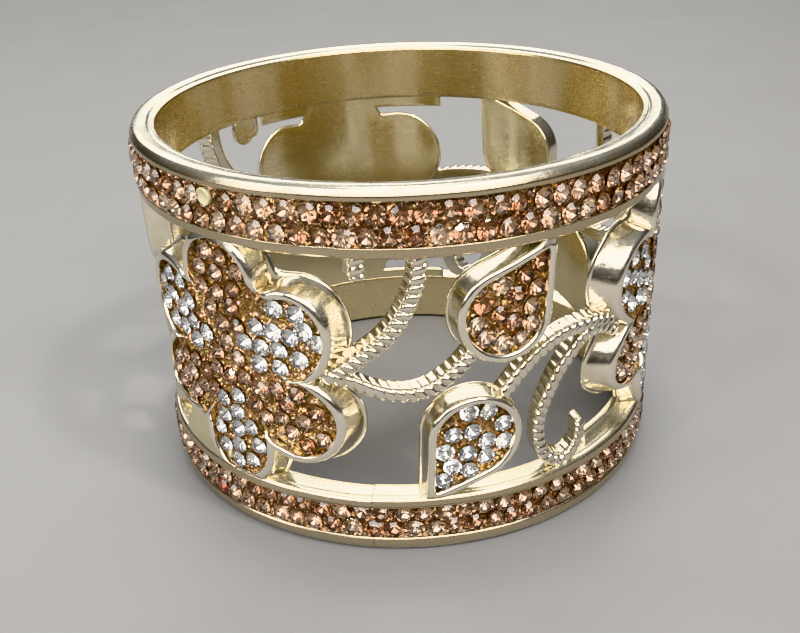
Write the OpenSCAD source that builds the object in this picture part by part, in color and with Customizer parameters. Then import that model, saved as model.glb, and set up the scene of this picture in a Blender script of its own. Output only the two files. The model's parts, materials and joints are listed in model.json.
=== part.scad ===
// Kada bangle: a cast openwork band of gold-plated metal, closed all round, with two stone-set rings
// joined by three six-petal flowers, six leaves and roped vines. It stands on its lower ring.
// +Z is up. The origin is on the axis, at the plane that the lower ring rests on.
// Azimuths turn about Z, are 0 at -Y and grow towards +X. They grow to the right, seen from outside.

/* [Band] */
// Inner diameter, for the wrist
inner_d = 60; // [56:0.5:66]
// Height of the whole bangle
height = 45.5; // [44:0.5:48]
// Height of each stone-set ring
ring_h = 7.7; // [7.4:0.1:8.2]
// How far a ring's lips stand out from the inner wall
lip_out = 3.2; // [3:0.1:3.6]
// How far the stones of a ring stand out from the inner wall
band_out = 3.6; // [3.5:0.1:3.9]

/* [Flowers] */
// Azimuth of the front flower
front_az = -39; // [-42:0.5:-36]
// Azimuth of the right flower
right_az = 73; // [70:0.5:76]
// Azimuth of the back flower
back_az = 197.5; // [194:0.5:200]
// Distance of a petal's middle from the flower's middle
petal_reach = 10.5; // [10.2:0.1:10.8]
// Radius of a petal's round end
petal_r = 5.6; // [5.4:0.1:5.8]

/* [Leaves] */
// Radius of a leaf's round end
leaf_r = 5.6; // [5.2:0.1:5.8]
// Height of a leaf's middle above or below the bangle's middle
leaf_rise = 7.5; // [7.2:0.1:7.8]
// Angle from a flower to the clear leaf that follows it
clear_leaf_turn = 52; // [50:0.5:54]
// Angle from a peach leaf to the flower that follows it
peach_leaf_turn = 54; // [52:0.5:56]

/* [Cups and vines] */
// How far the cups stand out from the inner wall
cup_out = 3.5; // [3.4:0.1:3.6]
// Thickness of a cup's rim
rim_t = 1; // [0.8:0.1:1.2]
// Thickness of a cup's back plate
plate_t = 1.2; // [1:0.1:1.4]
// Height of the webs that join a flower's back plate to both rings
web_h = 1.4; // [1:0.1:1.6]
// Width of a vine
vine_w = 1.9; // [1.6:0.1:2.2]

/* [Stones] */
// Diameter of a stone
stone_d = 2.2; // [2:0.1:2.2]
// Gap between loose pieces
gap = 0.1; // [0.1:0.02:0.14]

/* [Hidden] */
$fn = 96;

inner_r = inner_d / 2;
mid_z = height / 2;
lip_r = inner_r + lip_out;
cup_r = inner_r + cup_out;
plate_r = inner_r + plate_t;
channel_r = inner_r + 1.6;
vine_back_r = inner_r + 0.4;
vine_face_r = inner_r + 2.8;
// Cups and vines run a little into the rings, so that all of the frame is one casting
root = 0.35;
bed_r = plate_r + gap;
// Top of the paste below the flowers' stones, and of the fuller fill in the leaves
paste_r = inner_r + 2;
leaf_fill_r = inner_r + 3.3;

// A ring's section as [distance outwards from the inner wall, distance from the bangle's end]
rim_section = [
    [0, 0.6], [0.3, 0.25], [0.7, 0.06], [1.2, 0], [2, 0], [2.5, 0.15], [2.9, 0.5], [lip_out, 1.1],
    [lip_out, 1.9],
];
lip_section = [[lip_out, 6.4], [lip_out, 7], [2.9, 7.4], [2.5, ring_h], [0, ring_h]];
channel_edge = 1.9;
channel_end = 6.4;

// Tip of a peach leaf from the middle of its round end, seen from outside
leaf_tip = [5.9, 8.2];
// Angles at which the left and the right side leave the round end
leaf_side = [108, 2];
// A tip steps back by this much more than the sides, when an outline is inset
tip_step = 1.7;

// Vines as [angle from the flower before, height]: the rope that climbs into the upper ring
climbing_vine = [
    [23, 23.2], [27, 24.5], [31.5, 26.5], [35, 28.2], [37.6, 30.1], [39.7, 32.2], [41.2, 34.4],
    [41.9, 36.6], [41.8, 38.1],
];
// The short hooked end that hangs from the upper ring
hooked_end = [[30.6, 38.1], [30.5, 37.2], [30.4, 36]];
// The rope between a flower and the peach leaf, whose last angle is taken from the flower after
leaf_vine = [
    [22, 23.4], [27.5, 23], [31.5, 22.1], [34.4, 21.6], [37.4, 21.4], [40.3, 21.5], [43.2, 22.1],
    [46.1, 23.2], [48.8, 24.6], [51, 26.2],
];
// Vines as [angle to the flower after, height]: from the flower to the clear leaf
clear_vine = [
    [22, 24], [27.5, 25], [32.5, 25.6], [38.4, 25.7], [42.3, 25.3], [45.9, 24.4], [48.7, 23.3],
    [51.5, 21.8], [54.5, 19.8],
];
// The rope that falls to the lower ring and curls up beside it
falling_vine = [
    [23, 22.6], [29, 24.4], [34, 24.2], [38, 22.5], [40.6, 21], [42.5, 19.3], [44.1, 17.5], [45.2, 15.7],
    [45.6, 13.7], [45, 11.6], [43, 9.6], [39.2, 8.3], [36, 8.9], [34.3, 10.3], [34.2, 12],
];

// Stones of one peach and of one clear petal as [distance from the flower's middle, sideways]
peach_petal = [
    [5, 0.1], [5.1, -2.2], [6.7, 1.7], [7.4, -1.6], [8.7, 0.4], [9, 2.7], [9.7, -2.1], [11.1, 0.2],
    [11.4, 2.7], [11.85, -2.95], [13.2, -0.9], [13.4, 1.4],
];
clear_petal = [
    [4.2, 0.9], [5.3, -1.7], [6.6, 0.3], [7.8, -2], [8.1, 2.3], [9, 0.1], [9.9, -3.1], [10.5, 3.2],
    [11.4, -0.1], [12.3, -2.6], [12.9, 1.9], [13.7, -0.5],
];
// Distances of the stones in the flower's middle, towards the peach and towards the clear petals
core_places = [2.6, 1.9];

flowers = [front_az, right_az, back_az];
petal_step = 60;
first_petal = 30;
// The petals' walls run together out to here
wall_core_r = petal_r + 2.6;
// The ridges between petals end at this distance from the flower's middle
ridge_r = petal_r + 1.2;
// The notches behind the petals are filled out to here
notch_r = petal_reach + 2.3;
// The fill and the webs lie this much below both faces of the back plate
web_step = 0.06;
// How deep in a cup's wall and in its back plate a vine ends
vine_end = 0.5;
// Left and right end of the webs along the upper and the lower ring, from the flower's middle
upper_web = [-15, 12.7];
lower_web = [-15, 6.8];

function flower_before(i) = flowers[i];
function flower_after(i) = i == 2 ? flowers[0] + 360 : flowers[i + 1];
function span_middle(i) = (flower_before(i) + flower_after(i)) / 2;

// Faces local +Z outwards at an azimuth, with local X to the right and local Y up
module out_at(azimuth) {
    rotate([0, 0, azimuth]) rotate([90, 0, 0]) children();
}

// The space between two radii over a range of heights
module shell(r_in, r_out, z0, z1) {
    translate([0, 0, z0]) difference() {
        cylinder(r = r_out, h = z1 - z0);
        translate([0, 0, -1]) cylinder(r = r_in, h = z1 - z0 + 2);
    }
}

// A flat outline carried straight outwards at an azimuth and kept between two radii
module raised(azimuth, r_in, r_out, z0 = ring_h - root, z1 = height - ring_h + root) {
    intersection() {
        out_at(azimuth) linear_extrude(height = r_out + 1) children();
        shell(r_in, r_out, z0, z1);
    }
}

module ring_profile() {
    section = concat(
        rim_section, [[channel_r - inner_r, channel_edge], [channel_r - inner_r, channel_end]], lip_section
    );
    polygon([for (p = section) [inner_r + p[0], p[1]]]);
}

module lower_ring() {
    rotate_extrude() ring_profile();
}

module upper_ring() {
    translate([0, 0, height]) mirror([0, 0, 1]) lower_ring();
}

// Six round petals that narrow towards the middle of the flower
module flower_outline(r, core_r) {
    // A petal's straight sides run just inside the tangents to its round end
    half_angle = asin(r / petal_reach) - 1.5;
    side = petal_reach - 0.6;
    translate([0, mid_z]) {
        circle(r = core_r);
        for (k = [0:5]) rotate(first_petal + k * petal_step) {
            translate([petal_reach, 0]) circle(r = r);
            polygon([
                [0, 0],
                side * [cos(half_angle), -sin(half_angle)],
                side * [cos(half_angle), sin(half_angle)],
            ]);
        }
    }
}

// A drop with a round end and one tip. way is 1 with the tip up, -1 turned half round
module leaf_outline(way, inset) {
    r = leaf_r - inset;
    length = norm(leaf_tip);
    tip = leaf_tip * (length - tip_step * inset) / length;
    // The sides start just inside the round end
    start = 0.98 * r;
    translate([0, mid_z + way * leaf_rise]) rotate(way > 0 ? 0 : 180) {
        circle(r = r);
        polygon([
            [0, 0],
            start * [cos(leaf_side[1]), sin(leaf_side[1])],
            tip,
            start * [cos(leaf_side[0]), sin(leaf_side[0])],
        ]);
    }
}

// The fill of the notches behind a flower's petals, and a low web along each ring
module flower_webs(azimuth) {
    raised(azimuth, inner_r + web_step, plate_r - web_step) {
        translate([0, mid_z]) circle(r = notch_r);
        translate([upper_web[0], height - ring_h - web_h])
            square([upper_web[1] - upper_web[0], web_h + root]);
        translate([lower_web[0], ring_h - root])
            square([lower_web[1] - lower_web[0], web_h + root]);
    }
}

module flower_cup(azimuth) {
    flower_webs(azimuth);
    difference() {
        raised(azimuth, inner_r, cup_r) flower_outline(petal_r, wall_core_r);
        raised(azimuth, plate_r, cup_r + 1) flower_outline(petal_r - rim_t, ridge_r);
    }
}

module leaf_cup(azimuth, way) {
    difference() {
        raised(azimuth, inner_r, cup_r) leaf_outline(way, 0);
        raised(azimuth, plate_r, cup_r + 1) leaf_outline(way, rim_t);
    }
}

// Place of a vine's point as seen along the outward line at the middle of its span
function flat_point(azimuth, z, middle) = [vine_face_r * sin(azimuth - middle), z];

// A point at t on the smooth curve through p1 and p2
function smooth(p0, p1, p2, p3, t) =
    0.5 * (2 * p1 + (p2 - p0) * t + (2 * p0 - 5 * p1 + 4 * p2 - p3) * t * t
        + (3 * p1 - p0 - 3 * p2 + p3) * t * t * t);
function smooth_path(p, steps) = [
    for (i = [0:len(p) - 2], j = [0:steps - 1])
        smooth(p[max(i - 1, 0)], p[i], p[i + 1], p[min(i + 2, len(p) - 1)], j / steps),
    p[len(p) - 1],
];
function heading(p, i) =
    let (d = p[min(i + 1, len(p) - 1)] - p[max(i - 1, 0)]) d / norm(d);
function beside(p, i, w) = p[i] + w * [-heading(p, i)[1], heading(p, i)[0]];

// A ribbon along a path, with a rounded far end
module ribbon(points) {
    path = smooth_path(points, 2);
    last = len(path) - 1;
    h = heading(path, last);
    cap = [for (a = [-60:30:60]) path[last] + vine_w / 2 * (cos(a) * h + sin(a) * [-h[1], h[0]])];
    polygon(concat(
        [for (i = [0:last]) beside(path, i, -vine_w / 2)],
        cap,
        [for (i = [last:-1:0]) beside(path, i, vine_w / 2)]
    ));
}

module vine(points, middle) {
    raised(middle, vine_back_r, vine_face_r)
        ribbon([for (p = points) flat_point(p[0], p[1], middle)]);
}

// All vines between one flower and the next
module vines(i) {
    before = flower_before(i);
    after = flower_after(i);
    middle = span_middle(i);
    far = after - peach_leaf_turn - 6;
    near = before + leaf_vine[0][0];
    own = before + leaf_vine[len(leaf_vine) - 1][0];
    stretch = (far - near) / (own - near);
    far_clear = before + clear_leaf_turn + 6;
    own_clear = after - clear_vine[len(clear_vine) - 1][0];
    stretch_clear = (after - clear_vine[0][0] - far_clear) / (after - clear_vine[0][0] - own_clear);
    vine([for (p = climbing_vine) [before + p[0], p[1]]], middle);
    vine([for (p = hooked_end) [before + p[0], p[1]]], middle);
    vine([for (p = leaf_vine) [near + (p[0] - leaf_vine[0][0]) * stretch, p[1]]], middle);
    vine([
        for (p = clear_vine)
            [after - clear_vine[0][0] - (p[0] - clear_vine[0][0]) * stretch_clear, p[1]]
    ], middle);
    vine([for (p = falling_vine) [after - p[0], p[1]]], middle);
}

// The inside of a span's four cups and a part of their walls, which the vines leave free
module cup_insides(i) {
    for (azimuth = [flower_before(i), flower_after(i)])
        raised(azimuth, plate_r - vine_end, cup_r + 1) flower_outline(petal_r - vine_end, ridge_r);
    raised(flower_after(i) - peach_leaf_turn, plate_r - vine_end, cup_r + 1) leaf_outline(1, vine_end);
    raised(flower_before(i) + clear_leaf_turn, plate_r - vine_end, cup_r + 1) leaf_outline(-1, vine_end);
}

module frame() {
    color("#d9c79a") union() {
        lower_ring();
        upper_ring();
        for (i = [0:2]) {
            flower_cup(flowers[i]);
            leaf_cup(flower_after(i) - peach_leaf_turn, 1);
            leaf_cup(flower_before(i) + clear_leaf_turn, -1);
            difference() {
                vines(i);
                cup_insides(i);
            }
        }
    }
}

// The stone-covered fill of a ring's channel, slightly crowned
module band_fill() {
    slope = 0.7;
    rotate_extrude() polygon([
        [channel_r + gap, channel_edge + gap],
        [lip_r, channel_edge + gap],
        [inner_r + band_out, channel_edge + slope],
        [inner_r + band_out, channel_end - slope],
        [lip_r, channel_end - gap],
        [channel_r + gap, channel_end - gap],
    ]);
}

module bottom_band() {
    color("#c98f62") band_fill();
}

module top_band() {
    color("#c98f62") translate([0, 0, height]) mirror([0, 0, 1]) band_fill();
}

module flower_paste(azimuth) {
    color("#a8802f") raised(azimuth, bed_r, paste_r, ring_h + gap, height - ring_h - gap)
        flower_outline(petal_r - rim_t - gap, ridge_r - gap);
}

// The paste and stones of a leaf as one fill
module leaf_fill(azimuth, way) {
    raised(azimuth, bed_r, leaf_fill_r, ring_h + gap, height - ring_h - gap)
        leaf_outline(way, rim_t + gap);
}

module peach_leaf_paste(i) {
    color("#c98f62") leaf_fill(flower_after(i) - peach_leaf_turn, 1);
}

module clear_leaf_paste(i) {
    color("#d8d2c0") leaf_fill(flower_before(i) + clear_leaf_turn, -1);
}

// A round brilliant on its point at the origin: table, eight crown facets and eight below the girdle
module stone() {
    r = stone_d / 2;
    table_r = 0.56 * r;
    girdle_z = 0.75;
    table_z = 1.25;
    function ring(radius, z) = [for (k = [0:7]) [radius * cos(k * 45), radius * sin(k * 45), z]];
    polyhedron(
        points = concat(ring(table_r, table_z), ring(r, girdle_z), [[0, 0, 0]]),
        faces = concat(
            [[7, 6, 5, 4, 3, 2, 1, 0]],
            [for (k = [0:7]) [k, (k + 1) % 8, 8 + (k + 1) % 8, 8 + k]],
            [for (k = [0:7]) [8 + k, 8 + (k + 1) % 8, 16]]
        )
    );
}

// A stone set on the paste at a place seen along the outward line at the flower's azimuth
module set_stone(azimuth, place) {
    seat_r = paste_r + gap;
    turn = asin(place[0] / seat_r);
    translate([0, 0, place[1]]) out_at(azimuth + turn) translate([0, 0, seat_r]) stone();
}

// Stones at places given along and beside the direction that a petal points in
module petal_field(azimuth, petal, places) {
    for (s = places)
        set_stone(azimuth, [
            s[0] * cos(petal) - s[1] * sin(petal),
            mid_z + s[0] * sin(petal) + s[1] * cos(petal),
        ]);
}

module peach_stones(azimuth) {
    color("#e3b08a") for (k = [0:2]) {
        petal = first_petal + (2 * k + 1) * petal_step;
        petal_field(azimuth, petal, peach_petal);
        petal_field(azimuth, petal, [[core_places[0], 0]]);
        petal_field(azimuth, petal + petal_step, [[core_places[1], 0]]);
    }
}

module clear_stones(azimuth) {
    color("#eef1f4") for (k = [0:2])
        petal_field(azimuth, first_petal + 2 * k * petal_step, clear_petal);
}

frame();
top_band();
bottom_band();
flower_paste(front_az);  // front_flower_paste
flower_paste(right_az);  // right_flower_paste
flower_paste(back_az);  // back_flower_paste
peach_leaf_paste(0);  // front_peach_leaf_paste
peach_leaf_paste(1);  // right_peach_leaf_paste
peach_leaf_paste(2);  // back_peach_leaf_paste
clear_leaf_paste(0);  // front_clear_leaf_paste
clear_leaf_paste(1);  // right_clear_leaf_paste
clear_leaf_paste(2);  // back_clear_leaf_paste
peach_stones(front_az);  // front_peach_stones
peach_stones(right_az);  // right_peach_stones
peach_stones(back_az);  // back_peach_stones
clear_stones(front_az);  // front_clear_stones
clear_stones(right_az);  // right_clear_stones
clear_stones(back_az);  // back_clear_stones
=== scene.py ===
"""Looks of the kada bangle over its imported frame: plated metal, glitter paste and foil-backed stones.

Sizes are in millimetres until a mesh is made. Azimuths are in degrees, 0 at -Y and growing towards +X.
A flat place (x, z) belongs to a motif: x to its right and z up, carried straight outwards at its azimuth.
A pair of values for the rings gives the lower ring's first and the upper ring's second.
"""
import json
import math

import bpy
import numpy as np
from mathutils import Euler, Matrix, Vector

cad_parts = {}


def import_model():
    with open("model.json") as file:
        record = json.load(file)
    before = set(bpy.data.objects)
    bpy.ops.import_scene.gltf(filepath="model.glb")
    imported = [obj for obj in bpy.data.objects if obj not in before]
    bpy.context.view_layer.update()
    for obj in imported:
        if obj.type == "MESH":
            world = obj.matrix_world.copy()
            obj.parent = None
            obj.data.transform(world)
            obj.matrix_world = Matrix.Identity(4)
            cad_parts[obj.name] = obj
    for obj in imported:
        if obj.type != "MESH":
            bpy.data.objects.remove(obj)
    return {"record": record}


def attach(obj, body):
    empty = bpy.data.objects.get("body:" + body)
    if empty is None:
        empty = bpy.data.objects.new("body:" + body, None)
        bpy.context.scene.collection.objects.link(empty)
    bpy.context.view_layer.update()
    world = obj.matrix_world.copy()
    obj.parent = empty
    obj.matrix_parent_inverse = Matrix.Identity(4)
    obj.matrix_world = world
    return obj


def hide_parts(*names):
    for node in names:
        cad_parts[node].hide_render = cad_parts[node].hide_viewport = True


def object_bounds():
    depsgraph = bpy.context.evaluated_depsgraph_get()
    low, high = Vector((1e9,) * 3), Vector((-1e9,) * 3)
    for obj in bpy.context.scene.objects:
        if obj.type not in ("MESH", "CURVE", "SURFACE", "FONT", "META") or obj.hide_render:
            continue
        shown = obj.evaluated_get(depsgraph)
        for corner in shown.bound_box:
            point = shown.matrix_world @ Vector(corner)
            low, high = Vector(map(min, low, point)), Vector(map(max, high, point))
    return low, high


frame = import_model()
CAD_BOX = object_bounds()
SCENE = bpy.context.scene

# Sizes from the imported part

MM = 0.001
WRIST_BORE = next(m for m in frame["record"]["mounts"] if m["name"] == "wrist_bore")
INNER_R = WRIST_BORE["dims"]["r_mm"]
HEIGHT = round(CAD_BOX[1][2] / MM, 2)
MID_Z = HEIGHT / 2

# Rings, with distances from the bangle's end

RING_H = 7.7
BEAD_END = (2.0, 1.6)
LIP_START = (6.4, 6.35)
# Where a ring was closed, and how wide the crack there gapes
SEAM_AZ = (-8.6, -12.1)
CRACK = (1, 0)

# Stones

STONE_R = 1.13
GIRDLE_R = INNER_R + 2.82
# Radius on which a motif's flat places are measured for its stones
MEASURE_R = INNER_R + 2.8
# A cut stone of radius 1: its table's radius and height, heights of its girdle's corners and middles, depth
# of the foil's point, and how steeply the foil rises from there
TABLE_R, TABLE_H = 0.62, 0.42
CORNER_H, MIDDLE_H = 0.1125, 0.0492
FOIL_DEPTH, FOIL_SLOPE = 0.72, 0.8

BAND_STONE_R = 1.2
BAND_GIRDLE_R = INNER_R + 2.9
BAND_STONES = 84
STONE_ROWS = ((3.3, 5.42), (2.92, 5.3))
# The upper ring has lost a stone, and the lower has a redder one
LOST_AZ = -39.5
RED_AZ = -45.5

# Cups

CUP_R = INNER_R + 3.5
# A cup's rim where it dips under a ring's lip
UNDER_LIP_R = INNER_R + 2.9
PLATE_R = INNER_R + 0.7
RIM = 1.0
FLOWERS = {"front": -39.0, "right": 73.0, "back": 197.5}
NEXT = {"front": 73.0, "right": 197.5, "back": 321.0}
PETAL_REACH = 10.5
PETAL_R = 5.6
HALF_PETAL = 30
# How far round its end, to either side, a petal's wall thins out and turns in along a ridge
PETAL_THIN = 85
PETAL_TURN = 117
# How far out the back plate and the paste fill the notches between the petals
NOTCH_R = 12.8
PASTE_NOTCH_R = 10.6
# How far the paste keeps from a motif's outside
PASTE_INSET = RIM - 0.2
# Thickness of a ridge between two petals, and by each ridge's angle how far from the middle its inner end is
RIDGE_W = 0.5
RIDGE_ENDS = {0: 5.4, 60: 8.9, 120: 7.6, 180: 7.0, 240: 6.0, 300: 6.8}
# How far a motif's back spreads beyond its front, and how much taller than its front a flower's back is
FLANGE = 0.3
DRAFT = {"front": 0.08, "right": 0.1, "back": 0.15}
# The webs between a flower's back and the rings: their ends, and the height of their free edge
WEB_LEFT, UPPER_WEB_RIGHT, LOWER_WEB_RIGHT = -15.0, 12.7, 4.2
UPPER_WEB_Z = {"front": 37.1, "right": 36.35, "back": 36.35}
LOWER_WEB_Z = 9.1

LEAF_R = 5.6
LEAF_RISE = 7.5
LEAF_TIP = np.array([5.9, 8.2])
# Where a leaf's round end passes into its sides, and how much faster than them its tip draws in
LEAF_ARC = (2, -252)
TIP_STEP = 1.7
CLEAR_LEAF_TURN = 52.0
PEACH_LEAF_TURN = 54.0
# The ropes to the leaves end this far from a leaf's azimuth
ROPE_STOP = 6

# Paste

BED_R = INNER_R + 1.1
FLOWER_PASTE_R = INNER_R + 2.3
LEAF_PASTE_R = INNER_R + 2.35
BAND_BED_R = INNER_R + 1.5
BAND_PASTE_R = INNER_R + 2.62
# Size and rise of the crumbs in the cups and in the rings
CRUMB, CRUMB_RISE = 1.7, 0.26
BAND_CRUMB, BAND_CRUMB_RISE = 1.6, 0.3
# Rise and half width of the paste's bank over a ridge between two petals
RIDGE_BANK, RIDGE_BANK_W = 0.62, 0.34
# How much of the way the paste climbs to a stone's edge, over what width, and how far below the edge it ends
BANK, BANK_W, BANK_DROP = 0.8, 0.25, 0.05
# Gap between a stone's foil and the paste behind it
BEHIND_FOIL = 0.12

# Ropes

ROPE_W = 1.7
ROPE_BACK_R = INNER_R + 0.45
ROPE_FACE_R = INNER_R + 2.8
# Length of one ridge of a rope and how many sections it has
RIB, RIB_STEPS = 1.1, 10
# Depth of the crease between two ridges, its share at the sides, and its lean
CREASE, SIDE_SHARE, LEAN = 0.46, 0.5, 0.3
# How much further round the climbing rope ends than in the part's source
CLIMB_SHIFT = {"front": 0.0, "right": 0.0, "back": 1.4}
# Paths of the ropes, as in the part's source: [angle from the flower before, height]
CLIMBING = [[23, 23.2], [27, 24.5], [31.5, 26.5], [35, 28.2], [37.6, 30.1], [39.7, 32.2], [41.2, 34.4],
            [41.9, 36.6], [41.8, 38.1]]
HOOKED = [[30.6, 38.1], [30.5, 37.2], [30.4, 35]]
TO_PEACH_LEAF = [[22, 23.4], [27.5, 23], [31.5, 22.1], [34.4, 21.6], [37.4, 21.4], [40.3, 21.5], [43.2, 22.1],
                 [46.1, 23.2], [48.8, 24.6], [51, 26.2]]
# ... and [angle to the flower after, height]
TO_CLEAR_LEAF = [[22, 24], [27.5, 25], [32.5, 25.6], [38.4, 25.7], [42.3, 25.3], [45.9, 24.4], [48.7, 23.3],
                 [51.5, 21.8], [54.5, 19.8]]
FALLING = [[23, 22.6], [29, 24.4], [34, 24.2], [38, 22.5], [40.6, 21], [42.5, 19.3], [44.1, 17.5],
           [45.2, 15.7], [45.6, 13.7], [45, 11.6], [43, 9.6], [39.2, 8.3], [36, 8.9], [34.3, 10.3],
           [34, 11.8], [34.7, 12.9]]

# Places of the stones


def mirrored(places):
    """Places along and beside a petal, with left and right swapped."""
    return [[along, -beside] for along, beside in places]


# Stones of a petal as [distance from the flower's middle, sideways]: a usual peach and a usual clear petal
PEACH_PETAL = [[5, 0.1], [5.1, -2.2], [6.7, 1.7], [7.4, -1.6], [8.7, 0.4], [9, 2.7], [9.7, -2.1],
               [11.1, 0.2], [11.4, 2.7], [11.85, -2.95], [13.2, -0.9], [13.4, 1.4]]
CLEAR_PETAL = [[4.2, 0.9], [5.3, -1.7], [6.6, 0.3], [7.8, -2], [8.1, 2.3], [9, 0.1], [9.9, -3.1],
               [10.5, 3.2], [11.4, -0.1], [12.3, -2.6], [12.9, 1.9], [13.7, -0.5]]
# The petals by the angle that each points at
PEACH_PETALS = {
    90: PEACH_PETAL,
    210: mirrored(PEACH_PETAL),
    330: [[4.9, 0.1], [6.6, 1.7], [9, 2.8], [5.3, -2.1], [8.4, 0.8], [11.8, 2.1], [8.8, -1.3], [11.2, 0.1],
          [10.7, -2.3], [7.2, -2.8], [14.1, -0.6], [12.9, -2.6]],
}
CLEAR_PETALS = {
    30: [[10.7, 3.6], [12.9, 2], [7.1, 2.6], [8.8, 1.3], [10.5, 0], [12.7, -0.1], [13.5, -2.1], [4.3, 1.6],
         [6.2, 0.3], [8.3, -0.8], [4.7, -1.4], [7.1, -2.7], [10.1, -2.8]],
    150: mirrored(CLEAR_PETAL),
    270: CLEAR_PETAL,
}
# Distances of the stones in the flower's middle, towards the peach and towards the clear petals
CORE = (2.6, 1.9)
# Stones of the leaves, from the round end's middle with the tip up and to the right
PEACH_LEAF = [[3.9, 5.4], [2.2, 4.1], [-0.4, 3.4], [3.7, 2.4], [-2.6, 1.6], [1.2, 2.0], [3.1, 0.3],
              [-0.7, 0.0], [1.1, -1.1], [3.2, -1.8], [-3.3, -0.7], [-2.3, -2.5], [-0.3, -3.5], [1.8, -3.2]]
CLEAR_LEAF = [[0.8, -3.5], [-1.5, -3.3], [-3.3, -1.3], [2.6, -0.8], [0.4, -0.9], [-3.4, 1.1], [-1.3, 0.6],
              [3.6, 1.5], [1.0, 1.9], [-1.2, 2.7], [2.8, 3.5], [3.9, 5.3], [0.8, 4.2]]

# First seeds of the random draws, for places and turns of stones
BAND_PLACE_SEED, BAND_TURN_SEED = 21, 31
LEAF_SEED, PEACH_SEED, CLEAR_SEED = 60, 80, 90

# Camera

# In the photograph's pixels: its size, the focal length and the point that the camera looks straight at
PHOTO_W, PHOTO_H = 800, 633
FOCAL_PX = 1014.1
AHEAD_X, AHEAD_Y = 409.6, 400.0
CAMERA_AT = (0, -0.1282, 0.0788)
CAMERA_DOWN = 31.162
CAMERA_ROLL = -2.18219

# Shapes


def unit(v):
    """Vectors of length 1 along v."""
    return v / np.linalg.norm(v, axis=-1, keepdims=True)


def circle(a):
    """Flat places on the circle of radius 1 at angles a in radians."""
    return np.stack([np.cos(a), np.sin(a)], -1)


def smoothstep(lo, hi, t):
    """0 below lo, 1 above hi, and 3k^2 - 2k^3 of the fraction k between them."""
    k = np.clip((t - lo) / (hi - lo), 0, 1)
    return k * k * (3 - 2 * k)


def around(a, r, z):
    """Points at azimuths a, here in radians, radii r and heights z."""
    a, r, z = np.broadcast_arrays(a, r, z)
    return np.stack([r * np.sin(a), -r * np.cos(a), z], -1)


def place(azimuth, x, z, r):
    """Flat place (x, z) of a motif at radius r. It lies at azimuth + asin(x / r), so its sides run straight
    out."""
    return around(np.radians(azimuth) + np.arcsin(np.clip(x / r, -1, 1)), r, z)


def turned(along, beside, degrees):
    """Places along and beside a direction, as (x, z) with the direction turned to degrees."""
    c, s = math.cos(math.radians(degrees)), math.sin(math.radians(degrees))
    return along * c - beside * s, along * s + beside * c


def lumps(points, size, seed):
    """Soft lumps from -1 to 1 about size apart: a product of three sines along turned directions, twice
    over."""
    p = points / size
    first = np.sin(p @ [2.1, 1.3, 0.7] * 2.2 + seed) * np.sin(p @ [-0.9, 2.0, 1.4] * 2.4 + 1.7 * seed)
    second = np.sin(p @ [0.8, -1.5, 2.2] * 3.7 + 2.3 * seed) * np.sin(p @ [1.9, 0.6, -1.2] * 4.1 + seed)
    return 0.6 * first + 0.4 * second


def waver(x, z, r, seed):
    """Slight unevenness of a cast wall: lumps 5 mm apart and 0.02 mm high."""
    return 0.02 * lumps(np.stack([x, z, r], -1), 5, seed)


def shell(points, closed=False):
    """Closed shell over a grid of points, whose rows close on themselves. closed joins the last row to the
    first, and else both are shut. The faces are turned outwards by the sign of the enclosed volume."""
    n, m = points.shape[:2]
    i = np.arange(n * m).reshape(n, m)
    rows = np.vstack([i, i[:1]]) if closed else i
    rows = np.hstack([rows, rows[:, :1]])
    quads = np.stack([rows[:-1, :-1], rows[:-1, 1:], rows[1:, 1:], rows[1:, :-1]], -1).reshape(-1, 4)
    caps = [] if closed else [i[0][::-1], i[-1]]
    points = points.reshape(-1, 3)
    a, b, c, d = (points[quads[:, k]] for k in range(4))
    volume = np.einsum("ij,ij->", a, np.cross(b, c)) + np.einsum("ij,ij->", a, np.cross(c, d))
    for cap in caps:
        p = points[cap]
        volume += np.einsum("ij,ij->", np.broadcast_to(p[0], p[1:-1].shape), np.cross(p[1:-1], p[2:]))
    faces = quads.tolist() + [cap.tolist() for cap in caps]
    return points, faces if volume > 0 else [f[::-1] for f in faces]


def lid(outline, low, high, low_rings, high_rings):
    """A closed slab over an outline. low and high turn flat places and their fractions, from 1 at the edge to
    0 in the middle, into points of its two faces."""
    def layers(face, rings):
        k = np.concatenate([[1, 0.992, 0.98], np.linspace(0.96, 0.02, rings)])[:, None]
        return face(outline * k[..., None], k)

    return shell(np.concatenate([layers(high, high_rings)[::-1], layers(low, low_rings)]))


def rounded(corners, radii, step):
    """Closed outline through corners, each cut by an arc of its radius, with points about step apart on the
    straights. An arc has more points, the larger it is."""
    corners = np.asarray(corners, float)
    arcs = []
    for i, p in enumerate(corners):
        before, after = corners[i - 1] - p, corners[(i + 1) % len(corners)] - p
        u, v = unit(before), unit(after)
        half = math.acos(float(np.clip(u @ v, -1, 1))) / 2
        reach = radii[i] / math.tan(half)
        middle = p + unit(u + v) * radii[i] / math.sin(half)
        start, end = p + u * reach - middle, p + v * reach - middle
        first = math.atan2(start[1], start[0])
        turn = (math.atan2(end[1], end[0]) - first + math.pi) % math.tau - math.pi
        a = first + np.linspace(0, turn, 3 + min(4, int(radii[i] / 0.1)))
        arcs.append(middle + radii[i] * circle(a))
    path = []
    for arc, following in zip(arcs, arcs[1:] + arcs[:1]):
        gap = following[0] - arc[-1]
        n = max(1, int(np.linalg.norm(gap) / step))
        path += [arc, arc[-1] + gap * (np.arange(1, n) / n)[:, None]]
    return np.concatenate(path)


def new_object(name, data):
    """A new object of the scene."""
    obj = bpy.data.objects.new(name, data)
    SCENE.collection.objects.link(obj)
    return obj


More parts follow.
